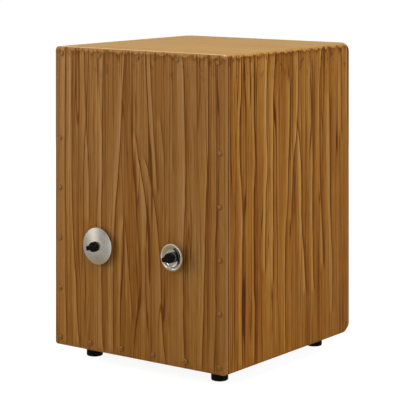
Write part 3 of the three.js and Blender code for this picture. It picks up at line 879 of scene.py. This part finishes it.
def build_feet():
    """Rubber feet with a rounded lower edge, a fine mould step and a recess for the screw."""
    head_height = 2.6
    recess, recess_depth, bore, step = 5.5, 8, 2.3, 0.35
    template = pan_head(radius=2, length=22, head_radius=4, head_height=head_height)
    turns = random.Random(7)
    for place in ("front_left", "front_right", "rear_left", "rear_right"):
        node = f"foot_{place}"
        low, high = corners(node)
        radius, height = (high.x - low.x) / 2, high.z - low.z
        x, y, _ = middle_of(node)
        outline = [(recess, -height), (radius - 0.3, -height), (radius, -height * 0.5)]
        outline += [(radius - step, -height * 0.14), (radius - step, -0.2), (radius - 0.8, 0)]
        outline += [(bore, 0), (bore, recess_depth - height), (recess, recess_depth - height)]
        lower_edge = softened(outline, 2.4, steps=6)[7:14]
        rest = softened(outline[2:], 0.5)[5:]  # without the corner above the lower edge
        profile = outline[:1] + lower_edge + rest
        piece(node, placed(lathed(profile, closed=True), moved(x, y, high.z, tip=90)), [RUBBER])
        node = f"foot_screw_{place}"
        head = corners(node)[0].z + head_height
        screw = copy_of(template, moved(x, y, head, turns.uniform(0, 90), tip=90))
        piece(node, screw, [ZINC_STEEL])


# ---- The discs and their hardware ----


def large_disc_shape(radius, crown, rim):
    """A dome with a flat middle. crown and rim are stand-offs from the tapa."""
    flat, sheet, bore, roll, steps = 7, 1.2, STUD_BORE, 0.5, 28

    def curve(outer, top):
        """A dome that steepens outwards and ends in a small rolled edge."""
        for k in range(steps + 1):
            t = k / steps
            radius_here = flat + (outer - roll * 0.5 - flat) * t
            yield (radius_here, -rim - roll - (top - rim - roll) * (1 - t**1.3))
        for angle in quarter(5)[1:]:
            yield (outer - roll * 0.5 * (1 - math.sin(angle)), -rim - roll * math.cos(angle))

    outside = list(curve(radius, crown))
    inside = list(curve(radius - sheet, crown - sheet))[::-1]
    profile = [(bore, -crown + 0.2), (bore + 0.2, -crown)] + outside + inside
    return lathed(profile + [(bore, -crown + sheet)], 128, closed=True)


def small_disc_shape(radius, lip_front, back):
    """A shallow dish that opens to the front, with a low crown in its middle and a rolled lip."""
    sheet, bore, flat, lip, groove, dip = 1.2, STUD_BORE, 8.5, 3.0, 12, 0.1
    floor = back + sheet
    rise = lip_front - floor
    outline = [(bore, -floor), (flat, -floor), (groove, -floor + dip), (radius - lip, -floor - rise)]
    outline += [(radius - lip * 0.4, -floor - rise), (radius, -floor - rise * 0.6)]
    outline += [(radius, -floor - rise * 0.25), (radius - sheet, -floor - rise * 0.25)]
    outline += [(radius - lip + sheet * 0.5, -back - rise), (groove + sheet * 0.4, -back + dip)]
    outline += [(flat, -back), (bore, -back)]
    return lathed(softened(outline, 2.6, steps=6), 128, closed=True)


def wing_nut_mesh():
    """A moulded wing nut along -Y from y = 0: a closed hub and two ears, melted together."""
    hub = [(0, -8.4), (7.1, -8.0), (7.7, 0), (0, 0)]
    ear = [(3.5, -2.0), (7.6, -2.0), (10.8, -3.8), (11.7, -7.6), (10.4, -9.5), (8.2, -9.0), (3.5, -7.4)]
    half_thickness = 3.4
    shape = lathed(softened(hub, 1.3, closed=False), 64)
    for side in (1, -1):
        wing = prism(ear, -half_thickness, half_thickness, 1.7)
        shape.add(wing, lambda p, side=side: Vector((side * p.x, p.z, side * p.y)))
    base = linked("wing_nut", shape.mesh("wing_nut"))
    melt = base.modifiers.new("melt", "REMESH")
    melt.mode = "VOXEL"
    melt.voxel_size = 0.3 * MM
    even = base.modifiers.new("even", "SMOOTH")
    even.factor, even.iterations = 0.5, 8
    return combined(baked(base), [plug(STUD_BORE, -6, 2, 64)])


def threaded_stud(front, back, head_radius, head_height):
    """A machine screw from y = front to its head behind y = back."""
    segments, pitch, depth, radius = 48, 1.0, 0.35, 3.0
    rows = int((back - front) / pitch * 8)
    shape, rings = Shape(), []
    for row in range(rows + 1):
        y = front + (back - front) * row / rows
        taper = min(1.0, 0.75 + 0.25 * (y - front) / 0.8)
        points = []
        for k in range(segments):
            angle = math.tau * k / segments
            wave = abs(((y / pitch + k / segments) % 1.0) * 2 - 1)
            reach = (radius - depth * wave) * taper
            points.append((reach * math.cos(angle), y, reach * math.sin(angle)))
        rings.append(shape.ring(points))
    end = back + head_height
    head = [(0, back), (head_radius, back), (head_radius, end), (0, end)]
    return shape.skin(rings).add(lathed(softened(head, 0.6, closed=False), 64))


def hex_nut(height, across_flats):
    corner = across_flats / math.sqrt(3)
    blank = prism(arc(0, 0, corner, 0, 300, steps=5), -height, 0, 0.12)
    outside = corner * 1.02
    chamfer = [(0, -height), (corner * 0.9, -height), (outside, -height + 0.5), (outside, 0), (0, 0)]
    faced = combined(blank, [lathed(chamfer, 64)], "INTERSECT")
    return combined(faced, [plug(STUD_BORE, -height - 1, 1)])


def ring_shape(node, ease):
    """A washer in the place of a CAD node, with softened edges."""
    low, high = corners(node)
    outline = rectangle(STUD_BORE, (high.x - low.x) / 2, low.y, high.y)
    centre = middle_of(node)
    return placed(lathed(softened(outline, ease), closed=True), moved(centre.x, 0, centre.z))


def build_disc_hardware(size, nut_turn):
    """A disc's stud and lock nut, the washers on both sides of the disc, and its wing nut."""
    stud = f"{size}_stud"
    low, high = corners(stud)
    x, _, z = middle_of(stud)
    screw = threaded_stud(low.y, FRAME_Y, 8, high.y - FRAME_Y)
    piece(stud, placed(screw, moved(x, 0, z)), [ZINC_STEEL], sharp=50)
    lock_nut = f"{size}_lock_nut"
    low, high = corners(lock_nut)
    hexagon = copy_of(hex_nut(high.y - low.y, high.z - low.z), moved(x, high.y, z))
    piece(lock_nut, hexagon, [ZINC_STEEL])
    felt = f"{size}_felt_washer"
    piece(felt, ring_shape(felt, 0.9), [FELT])
    washer = f"{size}_steel_washer"
    piece(washer, ring_shape(washer, 0.25), [ZINC_STEEL], f"{size}_nut_carriage")
    nut = f"{size}_wing_nut"
    wing_nut = copy_of(WING_NUT, moved(x, corners(nut)[1].y, z, nut_turn))
    made = piece(nut, wing_nut, [BLACK_NUT], f"{size}_wing_nut_body", sharp=60)
    made.visible_glossy = size == "small"  # the satin disc shows no clear image of its nut


def build_discs():
    kinds = (
        ("large", large_disc_shape, "satin_nickel", (222, 218, 210), 0.2, -15),
        ("small", small_disc_shape, "chrome", (226, 218, 204), 0.12, -20),
    )
    for size, shape_of, finish, colour, roughness, nut_turn in kinds:
        node = f"{size}_disc"
        low, high = corners(node)
        x, _, z = middle_of(node)
        disc = shape_of((high.x - low.x) / 2, FRONT_Y - low.y, FRONT_Y - high.y)
        plated = metal(finish, colour, roughness, (x, z))
        piece(node, placed(disc, moved(x, FRONT_Y, z)), [plated], f"{size}_disc_body")
        build_disc_hardware(size, nut_turn)


# ---- The snare ----


def coil(start, end, coil_radius=0.55, wire_radius=0.25, pitch=1.6, steps=9, sides=4):
    """A close spring of round wire between two points."""
    start, end = Vector(start), Vector(end)
    axis = (end - start).normalized()
    one = axis.orthogonal().normalized()
    two = axis.cross(one)
    length = (end - start).length
    count = int(length / pitch * steps)
    around = [math.tau * s / sides for s in range(sides)]
    shape, rings = Shape(), []
    for k in range(count + 1):
        angle = math.tau * k / steps
        outward = one * math.cos(angle) + two * math.sin(angle)
        centre = start + axis * (length * k / count) + outward * coil_radius
        section = [outward * math.cos(a) + axis * math.sin(a) for a in around]
        rings.append(shape.ring(centre + d * wire_radius for d in section))
    return shape.skin(rings)


def build_snare():
    """The bar, two fans of coiled wires on end plates with a screw each, and the foam damper."""
    low, high = corners("snare_bar")
    outline = rectangle(low.y, high.y, low.z, high.z)
    wood = placed(prism(outline, low.x, high.x, 0.8), lambda p: Vector((p.y, p.x, p.z)))
    piece("snare_bar", wood, [BAR_WOOD])
    bar_z = middle_of("snare_bar").z
    head_height = 1.8
    template = pan_head(radius=1.5, length=12, head_radius=3.2, head_height=head_height)
    wires, spacing, length = 10, 5.5, 84
    offset, splay = 47, 8  # of each fan: millimetres from the middle, and degrees
    half_width, half_height, thickness = 28.2, 5.5, 1.2
    for name, side in (("left", -1), ("right", 1)):
        node = f"snare_wires_{name}"
        low, high = corners(node)
        lean = (high.y - thickness) - (low.y + 0.8)
        plate = rectangle(-half_width, half_width, -half_height, half_height)
        fan = prism(plate, -thickness, 0, 0.3)
        for k in range(wires):
            x = (k - (wires - 1) / 2) * spacing
            fan.add(coil((x, -thickness - 0.6, 1), (x, -thickness - lean, length)))
        shape = placed(fan, moved(side * offset, high.y, bar_z, side * splay))
        piece(node, shape, [SNARE_STEEL])
        node = f"snare_screw_{name}"
        place = middle_of(node)
        move = moved(place.x, corners(node)[0].y + head_height, place.z, 30)
        piece(node, copy_of(template, move), [ZINC_STEEL])
    piece("snare_damper", block("snare_damper", 1.2), [FOAM])


# ---- The studio ----

CAMERA_PLACE = (1.506, -2.0335, 0.638)
CAMERA_TURN = 36.59  # degrees
CAMERA_LENS = 149.85
CAMERA_SHIFT = -0.6717  # the camera is level and its lens is shifted down
FLOOR_SIZE = 60  # metres

SOFTBOXES = (  # name, azimuth, elevation, distance, width, height, power
    ("left_key", -56, 10, 2.2, 0.7, 1.6, 30),
    ("front_fill", 12, 24, 2.6, 0.9, 0.9, 8),
    ("right_fill", 82, 15, 2.4, 1.2, 1.6, 26),
    ("overhead", 20, 78, 2.2, 1.8, 1.8, 36),
    ("rear_fill", 205, 14, 2.4, 1.4, 1.4, 26),
)
CARDS = (  # name, azimuth, elevation, width, height, brightness
    ("left_card", -43, 12, 0.5, 1.2, 1.5),
    ("front_card", -12, 12, 0.5, 1.0, 2.2),
    ("high_card", -30, 42, 1.6, 0.8, 1.3),
)


def add_camera():
    data = bpy.data.cameras.new("camera")
    data.lens = CAMERA_LENS
    data.sensor_width = 36
    camera = linked("camera", data)
    camera.location = CAMERA_PLACE
    camera.rotation_euler = (math.radians(90), 0, math.radians(CAMERA_TURN))
    bpy.context.scene.camera = camera
    # The lens is shifted only while the camera is at its own place.
    driver = data.driver_add("shift_y").driver
    place = driver.variables.new()
    place.name = "x"
    place.type = "TRANSFORMS"
    place.targets[0].id = camera
    place.targets[0].transform_type = "LOC_X"
    driver.expression = f"{CAMERA_SHIFT} if abs(x - {CAMERA_PLACE[0]}) < 0.001 else 0"


def aim(made, middle, azimuth, elevation, distance):
    """Moves an object to look at the middle, in metres, from a distance. Azimuth 0 is in front."""
    a, e = math.radians(azimuth), math.radians(elevation)
    out = Vector((math.sin(a) * math.cos(e), -math.cos(a) * math.cos(e), math.sin(e)))
    made.location = Vector(middle) + out * distance
    made.rotation_euler = (-out).to_track_quat("-Z", "Y").to_euler()


def add_softbox(name, azimuth, elevation, distance, width, height, power):
    """A large soft light that reflections don't show."""
    light = bpy.data.lights.new(name, "AREA")
    light.shape = "RECTANGLE"
    light.size, light.size_y = width, height
    light.energy = power
    made = linked(name, light)
    aim(made, (0, 0, 0.22), azimuth, elevation, distance)
    made.visible_camera = made.visible_glossy = False


def staged_sheet(name, width, height, material):
    """A flat rectangle about the origin, in metres, that isn't part of the object."""
    mesh = bpy.data.meshes.new(name)
    outline = rectangle(-width / 2, width / 2, -height / 2, height / 2)
    mesh.from_pydata([(x, y, 0) for x, y in outline], [], [(0, 1, 2, 3)])
    mesh.materials.append(material)
    made = linked(name, mesh)
    return made


def add_card(name, azimuth, elevation, width, height, brightness):
    """A soft-edged glowing panel 2 m away that only polished surfaces reflect."""
    n = Nodes(name)
    fall_x, fall_y = (
        n.smooth(n.math("ABSOLUTE", place * MM * (2 / span)), 1.0, full)
        for place, span, full in ((n.x, width, 0.2), (n.y, height, 0.5))
    )
    clear = n.add("BsdfTransparent").outputs[0]
    n.surface(n.mixed(fall_x * fall_y, clear, n.glow((1, 1, 1), brightness)))
    card = staged_sheet(name, width, height, n.owner)
    aim(card, (0, 0, 0.18), azimuth, elevation, 2.0)
    card.visible_camera = card.visible_diffuse = card.visible_shadow = False


def add_world():
    """White to the camera, and a soft grey-white room to the lights and reflections."""
    n = Nodes("studio", world=True)
    tone = n.ramp(n.z * MM, (0.0, (0.55, 0.55, 0.56)), (0.7, (1, 1, 1)))
    room = n.add("Background", {"Color": tone, "Strength": 0.45}).outputs[0]
    seen = n.add("Background", {"Color": (1, 1, 1), "Strength": 1.0}).outputs[0]
    n.surface(n.mixed(n.add("LightPath").outputs["Is Camera Ray"], room, seen))
    bpy.context.scene.world = n.owner


def floor_reflection(n):
    """What polished surfaces see in the floor: dim near the large disc, with two glows farther out."""
    near_tone, far_tone = (0.35, 0.3, 0.2), (0.4, 0.39, 0.37)
    left_tone, right_tone = (1.2, 1.08, 0.9), (1.5, 1.45, 1.4)
    across, ahead = n.x - middle_of("large_disc").x, n.y * -1 + FRONT_Y
    azimuth = n.math("ARCTAN2", across, ahead) * (180 / math.pi)
    distance = n.math("SQRT", across * across + ahead * ahead)
    left = n.smooth(n.math("ABSOLUTE", azimuth + 43), 8, 2) * n.smooth(distance, 500, 900)
    right = n.smooth(n.math("ABSOLUTE", azimuth + 15), 9, 3) * n.smooth(distance, 500, 900)
    far = n.blend(left, n.blend(right, far_tone, right_tone), left_tone)
    return n.glow(n.blend(n.smooth(distance, 470, 440), far, near_tone))


def add_floor():
    """A white floor that shows only a faint shadow. Diffuse rays see a warm grey one."""
    n = Nodes("floor")
    grain = n.noise(n.x * 0.01, n.y * 0.01)
    n.done((0.42, 0.4, 0.36), 0.9 + grain * 0.05, specular=0.0)
    path = n.add("LightPath")
    faint = n.add("BsdfDiffuse", {"Color": (0.22, 0.22, 0.22)}).outputs[0]
    seen = n.add("AddShader", enumerate((n.glow((1, 1, 1), 0.92), faint))).outputs[0]
    unseen = n.mixed(path.outputs["Is Glossy Ray"], n.shader.outputs[0], floor_reflection(n))
    n.surface(n.mixed(path.outputs["Is Camera Ray"], unseen, seen))
    staged_sheet("floor", FLOOR_SIZE, FLOOR_SIZE, n.owner)


WING_NUT = wing_nut_mesh()

build_tapa()
build_front_frame()
build_shell()
build_back()
build_corner_blocks()
build_tapa_screws()
build_feet()
build_discs()
build_snare()

add_camera()
add_world()
add_floor()
for softbox in SOFTBOXES:
    add_softbox(*softbox)
for card in CARDS:
    add_card(*card)

bpy.context.scene.view_settings.view_transform = "Standard"
